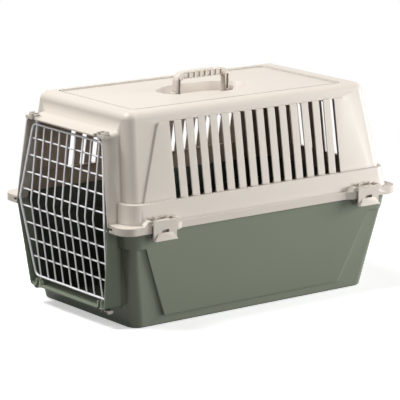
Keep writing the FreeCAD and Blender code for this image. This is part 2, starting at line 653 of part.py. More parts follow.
def lower_shell():
    """Tub with rim band, side panels, sill, pin sockets and clip ledges."""
    wall = frustum("TubWall", BASE, TUB_TOP)
    wall = taper_rounded("TubCorners", wall, "dim.base_corner", "dim.tub_corner", upright)
    wall = rounded("TubRounded", wall, "dim.base_radius", level_at("0"))
    band = rounded("Band", frustum("BandWall", BAND_LOW, SEAM), "dim.band_corner", upright)
    rim = flange_block(
        "TubRim",
        "(dim.skirt_thickness + dim.skirt_clearance)",
        "dim.parting_height - dim.rim_thickness",
        "dim.parting_height",
    )
    panel = Panel(
        low=BASE,
        high=TUB_TOP,
        proud=("dim.tub_panel_proud", "dim.band_step"),
        bottom=(
            "dim.tub_panel_bottom",
            "(fit.base_front - dim.tub_panel_low_inset_front)",
            "(fit.base_rear - dim.tub_panel_low_inset_rear)",
        ),
        top=(
            "fit.band_bottom",
            "(fit.tub_top_front - dim.tub_panel_top_inset_front)",
            "(fit.tub_top_rear - dim.tub_panel_top_inset_rear)",
        ),
        corner="dim.tub_panel_corner",
        round_top=False,
    )
    sill = ("fit.snout_bottom_half_width", "fit.snout_bottom")
    surround = snout("Sill", False, sill, "0", f"fit.rim_mid_front + {OVER}", "fit.snout_root")
    surround = cut("SillTrimmed", surround, rim_trim())
    outer = fuse("TubOuter", wall, band, rim, panel.block("TubPanel"), surround)

    floor = at(inset(BASE, "dim.wall"), "dim.floor_thickness")
    inner_low = frustum("TubHollow", floor, inset(TUB_TOP, "dim.wall"))
    inner_low = taper_rounded(
        "TubHollowCorners", inner_low, "dim.base_corner - dim.wall", "dim.tub_corner - dim.wall", upright
    )
    on_floor = level_at("dim.floor_thickness")
    inner_low = rounded("TubHollowRounded", inner_low, "dim.base_radius - dim.wall", on_floor)
    inner_high = frustum("BandHollowWall", inset(BAND_LOW, "dim.wall"), inset(SEAM, "dim.wall"))
    inner_high = rounded("BandHollow", inner_high, "dim.band_corner - dim.wall", upright)
    inner_panel = panel.block("TubPanelHollow", "dim.wall")
    doorway = doorway_hollow("SillHollow", False, sill)
    hollow = cut("TubHollowed", outer, inner_low, inner_high, inner_panel, doorway)

    additions = [hollow]
    openings = []
    for side, sign in SIDES.items():
        reach = "fit.flange_half_width - dim.skirt_thickness - dim.skirt_clearance"
        span = across(side, "dim.seam_half_width - dim.wall", reach)
        for end, middle in CLIP_MIDDLE.items():
            long_half = "(dim.ledge_half_length + dim.ledge_slant)"
            corners = [
                (f"{middle} - dim.ledge_half_length", "fit.ledge_bottom"),
                (f"{middle} + dim.ledge_half_length", "fit.ledge_bottom"),
                (f"{middle} + {long_half}", "dim.parting_height"),
                (f"{middle} - {long_half}", "dim.parting_height"),
            ]
            additions.append(prism(f"Ledge_{end}_{side}", "x", corners, *span))
        front = pin_front("fit.bottom_seat")
        centre = f"{sign} * fit.pin_place"
        half = "dim.socket_half_width"
        socket_top = "fit.snout_bottom + dim.snout_wall + dim.socket_height"
        socket = box(
            f"Socket_{side}",
            (f"{centre} - {half}", f"{centre} + {half}"),
            (f"-{front} - {half}", f"-{front} + {half}"),
            ("fit.snout_bottom + dim.snout_wall / 2", socket_top),
        )
        block, tunnel = catch_bridge(f"SillBridge_{side}", side, front, "fit.bottom_seat", False)
        additions += [socket, block]
        low, high = f"fit.snout_bottom - {OVER}", f"{socket_top} + {OVER}"
        openings += [tunnel, pin_slot(f"SillSlot_{side}", side, front, low, high)]
    return cut("LowerShell", fuse("TubWithLedges", *additions), *openings)


def doorway_hollow(name, high, end):
    """Inside of the door surround's upper or lower half, open at both ends."""
    reach, root = f"fit.rim_mid_front + {OVER * 2}", f"fit.snout_root - {OVER * 4}"
    return snout(name, high, end, "dim.snout_wall", reach, root)


def upper_shell():
    """Lid with belt, flange and skirt, vents, roof panel, finger bowl, clip lugs and catch seats."""
    wall = rounded("LidCorners", frustum("LidWall", LID_LOW, ROOF), "dim.lid_corner", upright)
    wall = rounded("LidRounded", wall, "dim.roof_radius", level_at("dim.roof_height"))
    belt = rounded("Belt", frustum("BeltWall", SEAM, BELT), "dim.belt_corner", upright)
    panel = Panel(
        low=LID_LOW,
        high=ROOF,
        proud=("dim.panel_proud", "dim.panel_proud"),
        bottom=(
            "fit.belt_top",
            "(fit.belt_front - dim.panel_low_inset_front)",
            "(fit.belt_rear - dim.panel_low_inset_rear)",
        ),
        top=("fit.panel_top", "fit.panel_top_front", "fit.panel_top_rear"),
        corner="dim.panel_corner",
        round_top=True,
    )
    brow = ("fit.snout_top_half_width", "fit.snout_top")
    surround = snout("Brow", True, brow, "0", f"fit.rim_mid_front + {OVER}", "fit.snout_root")
    surround = cut("BrowTrimmed", surround, rim_trim())
    plate = flange_block("FlangeBlock", "0", "fit.skirt_bottom", "fit.flange_top")
    room = (f"fit.skirt_bottom - {OVER}", "dim.parting_height")
    flange = cut("Flange", plate, flange_block("SkirtHollow", "dim.skirt_thickness", *room))
    outer = fuse("LidOuter", wall, belt, panel.block("LidPanel"), surround, flange)

    ceiling = "fit.roof_panel - dim.wall"
    ledge_level = "fit.belt_top - dim.wall"
    belt_high = at(inset(BELT, "dim.wall"), ledge_level)
    inner_belt = frustum("BeltHollowWall", inset(SEAM, "dim.wall"), belt_high)
    inner_belt = rounded("BeltHollow", inner_belt, "dim.belt_corner - dim.wall", upright)
    lid_low, lid_high = (inset(outline, "dim.wall") for outline in (LID_LOW, ROOF))
    inner_lid = frustum("LidHollow", at(lid_low, ledge_level), at(lid_high, ceiling))
    inner_lid = rounded("LidHollowCorners", inner_lid, "dim.lid_corner - dim.wall", upright)
    inner_lid = rounded("LidHollowRounded", inner_lid, "dim.roof_radius - dim.wall", level_at(ceiling))
    inner_panel = panel.block("LidPanelHollow", "dim.wall")
    sill_half = "(fit.snout_mid_half_width + dim.snout_flare + dim.skirt_clearance)"
    sill_room = box(
        "SillRoom",
        (f"-{sill_half}", sill_half),
        (f"-fit.flange_front - {OVER}", "-fit.snout_root"),
        (f"fit.skirt_bottom - {OVER}", "dim.parting_height"),
    )
    doorway = doorway_hollow("BrowHollow", True, brow)
    hollow = cut("LidHollowed", outer, inner_belt, inner_lid, inner_panel, sill_room, doorway)

    dish = bowl("BowlOuter", "dim.wall", "fit.roof_panel", "fit.bowl_floor - dim.wall")
    dish_hollow = bowl("BowlInner", "0", "fit.roof_panel", "fit.bowl_floor")
    pivots, bores = handle_pivots()
    lugs, lug_bores = clip_lugs()
    seats, seat_openings = catch_seats()
    openings = [roof_recess(), roof_groove(), dish_hollow, vents(), *ear_slots()]
    with_seats = fuse("LidWithSeats", hollow, dish, *lugs, *seats)
    opened = cut("LidOpened", with_seats, *openings, *lug_bores, *seat_openings)
    return cut("UpperShell", fuse("LidWithPivots", opened, *pivots), *bores)


def bowl(name, amount, high, low):
    """Elliptic dish with a leaning wall, grown by an amount."""
    rings = []
    for label, level, draft in (("Mouth", high, "0"), ("Floor", low, "dim.bowl_draft")):
        ring = doc.addObject("Part::Ellipse", name + label)
        ring.Placement = Placement(Vector(), Rotation(Vector(0, 0, 1), 90))
        bind(ring, MajorRadius=f"fit.bowl_half_length + {amount} - {draft}")
        bind(ring, MinorRadius=f"dim.bowl_half_width + {amount} - {draft}")
        place(ring, "0", "dim.handle_middle + dim.bowl_offset", level)
        rings.append(ring)
    return loft(name, rings)


def roof_block(name, amount, low):
    """Block over the roof panel with round corners, grown by an amount, from a level upwards."""
    block = box(
        name + "Block",
        (f"-(fit.recess_half_width + {amount})", f"fit.recess_half_width + {amount}"),
        (f"-(fit.recess_front + {amount})", f"fit.recess_rear + {amount}"),
        (low, f"dim.roof_height + {OVER}"),
    )
    return rounded(name, block, f"dim.recess_radius + {amount}", upright)


def roof_recess():
    """Space above the sunk roof panel."""
    return roof_block("Recess", "0", "fit.roof_panel")


def roof_groove():
    """Narrow groove that runs round the roof panel, behind a thin lip."""
    low = "dim.roof_height - dim.groove_depth"
    outer = roof_block("GrooveOuter", "(dim.groove_land + dim.groove_width)", low)
    return cut("Groove", outer, roof_block("GrooveInner", "dim.groove_land", low))


def vents():
    """All vent slots of both side panels and of the rear."""
    slots = []
    height = ("fit.belt_top", "fit.panel_top")
    for side in SIDES:
        for number in range(int(size("dim.vent_count"))):
            middle = f"(dim.vent_margin - fit.panel_top_front + {number} * fit.vent_pitch)"
            slot = box(
                f"Vent_{side}_{number + 1}",
                across(side, "fit.recess_half_width", "fit.flange_half_width"),
                (f"{middle} - dim.vent_width / 2", f"{middle} + dim.vent_width / 2"),
                height,
            )
            slots.append(slot)
    for number in range(int(size("dim.rear_vent_count"))):
        middle = f"(dim.rear_vent_margin - fit.roof_half_width + {number} * fit.rear_vent_pitch)"
        width = (f"{middle} - dim.vent_width / 2", f"{middle} + dim.vent_width / 2")
        slots.append(box(f"Vent_rear_{number + 1}", width, ("fit.recess_rear", "fit.flange_rear"), height))
    return fuse("Vents", *slots)


def handle_pivots():
    """Blocks in the bowl that carry the handle's trunnions, and their bores."""
    blocks, bores = [], []
    leg_face = "(dim.handle_length / 2 + dim.handle_gap)"
    far = f"({leg_face} + dim.pivot_block_length)"
    half = "dim.pivot_block_width / 2"
    height = (
        "fit.bowl_floor - dim.wall / 2",
        "fit.handle_axis_height + dim.trunnion_radius + dim.pivot_block_wall",
    )
    depth = "(dim.trunnion_length + dim.handle_gap)"
    for end, along in ENDS.items():
        near_y = f"dim.handle_middle + {along} * {leg_face}"
        far_y = f"dim.handle_middle + {along} * {far}"
        span = (near_y, far_y) if along > 0 else (far_y, near_y)
        blocks.append(box(f"PivotBlock_{end}", (f"-{half}", half), span, height))
        start = near_y if along > 0 else f"{near_y} - {depth}"
        bore = "dim.trunnion_radius + dim.running_clearance"
        centre = ("0", start, "fit.handle_axis_height")
        bores.append(cylinder(f"PivotBore_{end}", Vector(0, 1, 0), centre, bore, depth))
    return blocks, bores


def clip_lugs():
    """Raised shoulders and finned hinge lugs on the flange for the four clips, and the lugs' bores."""
    solids, bores = [], []
    top = "fit.flange_top + dim.shoulder_height"
    near = "(dim.clip_length / 2 + dim.shoulder_gap)"
    far = f"({near} + dim.shoulder_length)"
    lug_top = "fit.clip_axis_level + dim.clip_lug_radius"
    peak = "fit.clip_axis_level + dim.clip_fin_height"
    bore = "dim.clip_pin + dim.running_clearance"
    for side, sign in SIDES.items():
        axis = f"{sign} * fit.clip_axis_reach"
        root = f"{sign} * (dim.seam_half_width - dim.wall)"
        tip = f"{axis} - {sign} * dim.clip_fin_place"
        edge = f"{axis} + {sign} * dim.clip_lug_radius"
        shelf = f"{edge} - {sign} * dim.clip_lug_bevel"
        lug = [
            (root, "fit.flange_top"),
            (edge, "fit.flange_top"),
            (edge, f"{lug_top} - dim.clip_lug_bevel"),
            (shelf, lug_top),
            (tip, lug_top),
            (tip, peak),
            (root, lug_top),
        ]
        span = across(side, "fit.belt_half_width", "fit.flange_half_width")
        for end, middle in CLIP_MIDDLE.items():
            for number, step in enumerate((-1, 1), start=1):
                shoulder = [
                    (f"{middle} + {step} * {near}", "fit.flange_top"),
                    (f"{middle} + {step} * {near}", top),
                    (f"{middle} + {step} * {far}", top),
                    (f"{middle} + {step} * ({far} + dim.shoulder_ramp)", "fit.flange_top"),
                ]
                solids.append(prism(f"Shoulder_{end}_{side}_{number}", "x", shoulder, *span))
                name = f"Lug_{end}_{side}_{number}"
                low = f"{middle} + {step} * dim.clip_lug_place - dim.clip_lug_thickness / 2"
                solids.append(prism(name, "y", lug, low, f"{low} + dim.clip_lug_thickness"))
                centre = (axis, f"{low} - {OVER}", "fit.clip_axis_level")
                length = f"dim.clip_lug_thickness + {OVER * 2}"
                bores.append(cylinder(name + "Bore", Vector(0, 1, 0), centre, bore, length))
    return solids, bores


def catch_seats():
    """Flat seats and bridges for the two upper door catches, and the pin slots through them."""
    solids, openings = [], []
    front = pin_front("fit.top_seat")
    for side in SIDES:
        outer_end = "dim.catch_length - dim.catch_prong + dim.catch_travel"
        half = "(dim.catch_width / 2 + dim.catch_gap + dim.bridge_wall)"
        x = across(side, "fit.pin_place - dim.socket_half_width", f"fit.pin_place + {outer_end}")
        seat = box(
            f"Seat_{side}",
            x,
            (f"-{front} - {half}", f"-{front} + {half}"),
            ("fit.snout_top - dim.snout_wall / 2", "fit.top_seat"),
        )
        block, tunnel = catch_bridge(f"BrowBridge_{side}", side, front, "fit.top_seat", True)
        solids += [seat, block]
        low, high = f"fit.snout_top - {OVER * 2}", "fit.top_seat + dim.catch_thickness / 2"
        slot = pin_slot(f"BrowSlot_{side}", side, front, low, high)
        openings += [tunnel, slot]
    return solids, openings


def ear_slots():
    """Small slot in the front face of each front ear."""
    slots = []
    half = "dim.ear_slot_width / 2"
    low = "(fit.skirt_bottom + fit.flange_top - dim.ear_slot_height) / 2"
    depth = (f"-fit.flange_front - {OVER}", "-fit.flange_front + dim.skirt_thickness")
    for side in SIDES:
        width = across(side, f"fit.ear_slot_place - {half}", f"fit.ear_slot_place + {half}")
        slots.append(box(f"EarSlot_{side}", width, depth, (low, f"{low} + dim.ear_slot_height")))
    return slots


def body_of(name):
    """Empty design body."""
    return doc.addObject("PartDesign::Body", name)


def body_box(body, name, x, y, z, cutting=False):
    """Block added to a body, or cut from it."""
    kind = "PartDesign::SubtractiveBox" if cutting else "PartDesign::AdditiveBox"
    item = body.newObject(kind, name)
    bind(item, Length=f"({x[1]}) - ({x[0]})", Width=f"({y[1]}) - ({y[0]})", Height=f"({z[1]}) - ({z[0]})")
    place(item, x[0], y[0], z[0])
    return item


def body_cylinder(body, name, axis, centre, radius, length, cutting=False):
    """Cylinder added to a body, or cut from it."""
    kind = "PartDesign::SubtractiveCylinder" if cutting else "PartDesign::AdditiveCylinder"
    item = body.newObject(kind, name)
    item.Placement = Placement(Vector(), Rotation(Vector(0, 0, 1), axis))
    bind(item, Radius=radius, Height=length)
    place(item, *centre)
    return item


def handle():
    """Carrying arch with crowned grip, grooved legs and trunnions."""
    half = "dim.handle_length / 2"
    middle = "dim.handle_middle"
    low = "fit.handle_axis_height - dim.handle_width / 2"
    thick = ("-dim.handle_width / 2", "dim.handle_width / 2")
    block = box("ArchBlock", thick, (f"{middle} - {half}", f"{middle} + {half}"), (low, "fit.handle_top"))
    crown_centre = ("-dim.handle_width", middle, "fit.handle_top - dim.handle_crown")
    crown = cylinder("ArchCrown", Vector(1, 0, 0), crown_centre, "dim.handle_crown", "2 * dim.handle_width")
    arch = common("Arch", block, crown)
    inner = f"({half} - dim.leg_width)"
    ceiling = "fit.handle_top - dim.grip_depth"
    window = box(
        "ArchWindow",
        ("-dim.handle_width", "dim.handle_width"),
        (f"{middle} - {inner}", f"{middle} + {inner}"),
        (f"{low} - {OVER}", ceiling),
    )
    level, foot, reach, centre = size(ceiling), size(low), size(half) - NEAR, size(middle)

    def across_top(first, last):
        return abs(first.x - last.x) > SLACK and first.z > level - NEAR

    def shoulder(first, last):
        return across_top(first, last) and abs(first.y - centre) > reach

    def leg_end(first, last):
        low_edge = abs(first.z - foot) < NEAR and abs(last.z - foot) < NEAR
        return low_edge and abs(first.y - last.y) > SLACK

    solid = rounded("Shoulders", arch, "dim.handle_corner", shoulder)
    window = rounded("WindowShoulders", window, "dim.handle_inner_corner", across_top)
    solid = cut("ArchOpen", solid, window)
    solid = rounded("LegEnds", solid, "dim.handle_width / 2 - dim.handle_gap", leg_end)

    trunnions, recesses = [], []
    for end, along in ENDS.items():
        start = f"{middle} + {along} * {half}"
        if along < 0:
            start = f"{start} - dim.trunnion_length"
        point = ("0", start, "fit.handle_axis_height")
        radius, length = "dim.trunnion_radius", "dim.trunnion_length"
        trunnions.append(cylinder(f"Trunnion_{end}", Vector(0, 1, 0), point, radius, length))
    for side, sign in SIDES.items():
        face = f"{sign} * dim.handle_width / 2"
        grip_middle = "fit.handle_top - dim.grip_depth / 2 - dim.rib_drop"
        for number in range(int(size("dim.rib_count"))):
            place_y = f"{middle} + ({number} - (dim.rib_count - 1) / 2) * dim.rib_pitch"
            recesses.append(
                box(
                    f"GripRecess_{side}_{number + 1}",
                    (f"{face} - dim.rib_depth", f"{face} + dim.rib_depth"),
                    (f"{place_y} - dim.rib_width / 2", f"{place_y} + dim.rib_width / 2"),
                    (f"{grip_middle} - dim.rib_height / 2", f"{grip_middle} + dim.rib_height / 2"),
                )
            )
        for end, along in ENDS.items():
            leg = f"{middle} + {along} * ({half} - dim.leg_width / 2)"
            recesses.append(
                box(
                    f"LegGroove_{side}_{end}",
                    (f"{face} - dim.leg_groove_depth", f"{face} + dim.leg_groove_depth"),
                    (f"{leg} - dim.leg_groove_width / 2", f"{leg} + dim.leg_groove_width / 2"),
                    ("fit.handle_axis_height + dim.trunnion_radius", ceiling),
                )
            )
    return cut("Handle", fuse("ArchWithTrunnions", solid, *trunnions), *recesses)


def clip(name, side, end):
    """Swing clip, drawn about its own pivot with its face towards +X."""
    body = body_of(name)
    half = "dim.clip_length / 2"
    back = "dim.clip_face"
    face = "dim.clip_face + dim.clip_plate"
    foot = "-fit.clip_below"
    body_box(body, name + "Plate", (back, face), (f"-{half}", half), (foot, "dim.clip_above"))
    hook = ("-dim.clip_hook_half_length", "dim.clip_hook_half_length")
    body_box(body, name + "Hook", ("-dim.clip_hook_reach", back), hook, (foot, "fit.hook_top"))
    lip = body.newObject("PartDesign::AdditiveWedge", name + "Lip")
    lip.Placement = Placement(Vector(), Rotation(Vector(1, 0, 0), 90))
    low_end = f"{half} - dim.clip_lip_edge"
    top_end = f"{half} - dim.clip_lip_taper"
    bind(lip, Ymin=foot, Xmin=back, Xmax=f"{face} + dim.clip_lip", Zmin=f"-({low_end})", Zmax=low_end)
    bind(lip, Ymax=f"{foot} + dim.clip_lip_height", X2min=back, X2max=f"{face} + dim.clip_lip_edge")
    bind(lip, Z2min=f"-({top_end})", Z2max=top_end)
    inner = "(dim.clip_lug_place - dim.clip_lug_thickness / 2 - dim.clip_lug_gap)"
    outer = "(dim.clip_lug_place + dim.clip_lug_thickness / 2 + dim.clip_lug_gap)"
    body_box(body, name + "Web", ("0", back), (f"-{inner}", inner), ("-dim.clip_barrel", "dim.clip_above"))
    barrel = ("0", f"-{inner}", "0")
    body_cylinder(body, name + "Barrel", Vector(0, 1, 0), barrel, "dim.clip_barrel", f"2 * {inner}")
    pin = ("0", f"-{outer}", "0")
    body_cylinder(body, name + "Trunnion", Vector(0, 1, 0), pin, "dim.clip_pin", f"2 * {outer}")
    slot = ("-dim.clip_slot_length / 2", "dim.clip_slot_length / 2")
    slot_low = f"{foot} + dim.clip_slot_rise - dim.clip_slot_height / 2"
    height = (slot_low, f"{slot_low} + dim.clip_slot_height")
    depth = ("dim.clip_face / 2", f"{face} + {OVER}")
    body_box(body, name + "Slot", depth, slot, height, cutting=True)
    turn = 0 if SIDES[side] > 0 else 180
    body.Placement = Placement(Vector(), Rotation(Vector(0, 0, 1), turn))
    place(body, f"{SIDES[side]} * fit.clip_axis_reach", CLIP_MIDDLE[end], "fit.clip_axis_level")
    return body


def catch(name, side, up):
    """Sliding door catch, drawn about its pin with its nub towards +X and its seat below."""
    body = body_of(name)
    half = "dim.catch_width / 2"
    far = "dim.catch_length - dim.catch_prong"
    low = "dim.catch_gap"
    high = "dim.catch_gap + dim.catch_thickness"
    body_box(body, name + "Plate", ("-dim.catch_prong", far), (f"-{half}", half), (low, high))
    nub = body.newObject("PartDesign::AdditiveWedge", name + "Nub")
    nub.Placement = Placement(Vector(), Rotation(Vector(1, 0, 0), 90))
    bind(nub, Ymin=high, Ymax=f"{high} + dim.catch_nub_height", Xmin=f"{far} - dim.catch_nub", Xmax=far)
    bind(nub, X2min=f"{far} - dim.catch_nub + dim.catch_nub_taper", X2max=f"{far} - dim.catch_nub_taper")
    bind(nub, Zmin=f"-{half}", Zmax=half)
    bind(nub, Z2min=f"-{half} + dim.catch_nub_taper", Z2max=f"{half} - dim.catch_nub_taper")
    jaw = "fit.slot_radius"
    depth = f"{high} + {OVER}"
    mouth = (f"-dim.catch_prong - {OVER}", "0")
    body_box(body, name + "Jaw", mouth, (f"-{jaw}", jaw), ("0", depth), cutting=True)
    body_cylinder(body, name + "JawEnd", Vector(0, 0, 1), ("0", "0", "0"), jaw, depth, cutting=True)
    turn = Rotation(Vector(0, 0, 1), 0 if SIDES[side] > 0 else 180)
    if not up:
        turn = turn * Rotation(Vector(1, 0, 0), 180)
    body.Placement = Placement(Vector(), turn)
    seat = "fit.top_seat" if up else "fit.bottom_seat"
    drawn_back = "dim.catch_travel" if side == "right" else "0"
    place(body, f"{SIDES[side]} * (fit.pin_place + {drawn_back})", f"-{pin_front(seat)}", seat)
    return body


def bent_wire(name, points, radii, diameter, closed=False):
    """Round wire through points, with an arc of the given radius at each inner point."""
    count = len(points)
    runs = []
    for index, point in enumerate(points):
        if not closed and index in (0, count - 1):
            runs.append((point, None, point))
            continue
        before = (points[index - 1] - point).normalize()
        after = (points[(index + 1) % count] - point).normalize()
        half_turn = (math.pi - before.getAngle(after)) / 2
        reach = radii[index] * math.tan(half_turn)
        bisector = (before + after).normalize()
        depth = radii[index] / math.cos(half_turn) - radii[index]
        runs.append((point + before * reach, point + bisector * depth, point + after * reach))
    edges = []
    for index in range(count):
        start, middle, finish = runs[index]
        if middle is not None:
            edges.append(Part.Arc(start, middle, finish).toShape())
        if closed or index < count - 1:
            edges.append(Part.LineSegment(finish, runs[(index + 1) % count][0]).toShape())
    path = Part.Wire(Part.__sortEdges__(edges))
    first = path.Edges[0]
    start = first.valueAt(first.FirstParameter)
    heading = first.tangentAt(first.FirstParameter)
    ring = Part.Wire(Part.makeCircle(diameter / 2, start, heading))
    item = doc.addObject("Part::Feature", name)
    item.Shape = path.makePipeShell([ring], True, False)
    return item


def door_front(height):
    """Front distance of the folded door at a height."""
    if height > size("fit.door_kink"):
        end, far = size("fit.door_top"), size("fit.door_top_front")
    else:
        end, far = size("fit.door_bottom"), size("fit.door_bottom_front")
    share = (height - size("fit.door_kink")) / (end - size("fit.door_kink"))
    return size("fit.door_kink_front") * (1 - share) + far * share


def door_half_width(height):
    """Half width of the door frame at a height."""
    end = "top" if height > size("fit.door_kink") else "bottom"
    level, width = size(f"fit.door_{end}"), size(f"fit.door_{end}_half_width")
    share = (height - size("fit.door_kink")) / (level - size("fit.door_kink"))
    return size("fit.door_kink_half_width") * (1 - share) + width * share


def door_frame_wire():
    """Closed wire loop of the door, folded at its middle."""
    levels = [size("fit.door_top"), size("fit.door_kink"), size("fit.door_bottom")]
    right = [Vector(door_half_width(z), -door_front(z), z) for z in levels]
    left = [Vector(-point.x, point.y, point.z) for point in reversed(right)]
    corner, kink = size("dim.door_corner"), size("dim.kink_radius")
    radii = [corner, kink, corner, corner, kink, corner]
    return bent_wire("door_frame_wire", right + left, radii, size("dim.frame_wire"), closed=True)


def door_upright_wire(number):
    """Upright wire, bent like the frame and flush with its back."""
    x = (number - 1 - (size("dim.upright_count") - 1) / 2) * size("fit.upright_pitch")
    back = size("(dim.frame_wire - dim.grid_wire) / 2")
    end_gap = size("dim.frame_wire / 2 + dim.weld_gap")
    levels = [size("fit.door_top") - end_gap, size("fit.door_kink"), size("fit.door_bottom") + end_gap]
    points = [Vector(x, back - door_front(z), z) for z in levels]
    radii = [0, size("dim.kink_radius"), 0]
    return bent_wire(f"door_upright_wire_{number}", points, radii, size("dim.grid_wire"))


def door_cross_wire(number):
    """Cross wire behind the uprights, lapped on the back of the frame."""
    row = size("fit.cross_half") + 1 - number
    pitch = "fit.cross_pitch_above" if row > 0 else "fit.cross_pitch_below"
    z = size("fit.door_kink") + row * size(pitch)
    lean = Vector(0, door_front(z + SLACK) - door_front(z - SLACK), 2 * SLACK)
    offset = size("(dim.frame_wire + dim.grid_wire) / 2 + dim.weld_gap") * lean.Length / lean.z
    y = offset - door_front(z)
    half = door_half_width(z) + size("dim.frame_wire / 2")
    ends = [Vector(-half, y, z), Vector(half, y, z)]
    return bent_wire(f"door_cross_wire_{number}", ends, [0, 0], size("dim.grid_wire"))


def door_pin(side, up):
    """Short pin welded to a corner of the frame, on the door's hinge line."""
    name = f"door_pin_{'top' if up else 'bottom'}_{side}"
    top = Vector(0, -size("fit.door_top_front"), size("fit.door_top"))
    bottom = Vector(0, -size("fit.door_bottom_front"), size("fit.door_bottom"))
    line = (top - bottom).normalize()
    start, heading = (top, line) if up else (bottom, -line)
    tip = "fit.top_seat + dim.catch_gap + dim.catch_thickness"
    if not up:
        tip = "fit.bottom_seat - dim.catch_gap - dim.catch_thickness"
    away = size("dim.frame_wire / 2 + dim.weld_gap * 2")
    item = doc.addObject("Part::Cylinder", name)
    bind(item, Radius="fit.pin_radius")
    item.Height = abs(size(tip) - start.z) - away
    x = Vector(SIDES[side] * size("fit.pin_place"), 0, 0)
    item.Placement = Placement(x + start + heading * away, Rotation(Vector(0, 0, 1), heading))
    return item


nodes = {}
nodes["lower_shell"] = lower_shell()
nodes["upper_shell"] = upper_shell()
nodes["handle"] = handle()
for side in SIDES:
    for end in ENDS:
        nodes[f"clip_{end}_{side}"] = clip(f"Clip_{end}_{side}", side, end)
    for level in ("top", "bottom"):
        nodes[f"door_catch_{level}_{side}"] = catch(f"Catch_{level}_{side}", side, level == "top")
        nodes[f"door_pin_{level}_{side}"] = door_pin(side, level == "top")
nodes["door_frame_wire"] = door_frame_wire()
for number in range(1, int(size("dim.upright_count")) + 1):
    nodes[f"door_upright_wire_{number}"] = door_upright_wire(number)
for number in range(1, int(size("dim.cross_count")) + 1):
    nodes[f"door_cross_wire_{number}"] = door_cross_wire(number)

doc.recompute()
for item in doc.Objects:
    if "Invalid" in item.State or "Error" in item.State:
        raise RuntimeError(f"{item.Name} failed: {item.State}")
for name, item in nodes.items():
    item.Label = name
    if item.Shape.isNull() or not item.Shape.isValid():
        raise RuntimeError(f"{name} has no valid shape")
    if len(item.Shape.Solids) != 1:
        raise RuntimeError(f"{name} has {len(item.Shape.Solids)} solids")

os.makedirs("parts", exist_ok=True)
for name, item in nodes.items():
    item.Shape.exportStep(f"parts/{name}.step")
    print(name, round(item.Shape.Volume), item.Shape.BoundBox)
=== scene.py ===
"""Looks of a plastic pet carrier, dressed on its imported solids.

Lengths are in metres. +Z is up, the door faces -Y, and X runs across the carrier.
"""

import json
import logging
import math
from collections.abc import Iterator
from contextlib import contextmanager
from dataclasses import dataclass
from enum import Enum

import bpy
from mathutils import Matrix, Vector


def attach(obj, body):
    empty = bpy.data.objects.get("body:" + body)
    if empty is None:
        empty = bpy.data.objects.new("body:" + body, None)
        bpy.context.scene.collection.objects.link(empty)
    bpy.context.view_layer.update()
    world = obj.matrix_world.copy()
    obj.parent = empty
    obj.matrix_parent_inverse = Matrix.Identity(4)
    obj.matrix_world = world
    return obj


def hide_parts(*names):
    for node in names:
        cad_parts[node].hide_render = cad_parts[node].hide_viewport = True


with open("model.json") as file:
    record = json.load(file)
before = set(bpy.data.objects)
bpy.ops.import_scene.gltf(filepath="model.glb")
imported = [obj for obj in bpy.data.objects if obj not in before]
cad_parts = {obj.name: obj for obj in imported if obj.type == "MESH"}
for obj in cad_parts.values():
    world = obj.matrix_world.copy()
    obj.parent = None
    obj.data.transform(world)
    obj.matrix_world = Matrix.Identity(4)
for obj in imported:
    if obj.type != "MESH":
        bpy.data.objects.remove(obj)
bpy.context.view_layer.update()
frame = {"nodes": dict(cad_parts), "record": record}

# Half length and height of a line along the middle of the carrier.
CORE_HALF = 0.2
CORE_HEIGHT = 0.2
log = logging.getLogger("carrier")

Colour = tuple[float, float, float]
Place = tuple[float, float, float]
Socket = bpy.types.NodeSocket
Feed = Socket | Place | float


class Slot(Enum):
    """Material slots of the record."""

    GREEN = "green_plastic"
    BEIGE = "beige_plastic"
    WIRE = "coated_wire"


def grey(level: float) -> tuple[float, float, float, float]:
    """Give an opaque grey.

    Args:
        level: Its brightness, from 0 for black to 1 for white.

    Returns:
        The colour with its opacity.
    """
    return (level, level, level, 1.0)


def alone(piece: bpy.types.Object) -> None:
    """Select one piece and nothing else.

    Args:
        piece: The piece to select.
    """
    bpy.ops.object.select_all(action="DESELECT")
    piece.select_set(True)
    bpy.context.view_layer.objects.active = piece


def dress(piece: bpy.types.Object, material: bpy.types.Material) -> None:
    """Give a piece one material.

    Args:
        piece: The piece to dress.
        material: Its only material.
    """
    piece.data.materials.clear()
    piece.data.materials.append(material)


@contextmanager
def editing(piece: bpy.types.Object, everything: bool = True) -> Iterator[None]:
    """Hold a piece in edit mode.

    Args:
        piece: The piece to edit.
        everything: Whether all of it is selected first.
    """
    alone(piece)
    bpy.ops.object.mode_set(mode="EDIT")
    if everything:
        bpy.ops.mesh.select_all(action="SELECT")
    yield
    bpy.ops.object.mode_set(mode="OBJECT")


def faces_out(place: Vector, normal: Vector) -> bool:
    """Tell whether a surface looks away from the line along the middle of the carrier.

    Args:
        place: Point on the surface.
        normal: Direction that the surface faces there.

    Returns:
        True on the outside of a shell.
    """
    along = max(-CORE_HALF, min(CORE_HALF, place.y))
    return normal.dot(place - Vector((0.0, along, CORE_HEIGHT))) > 0.0


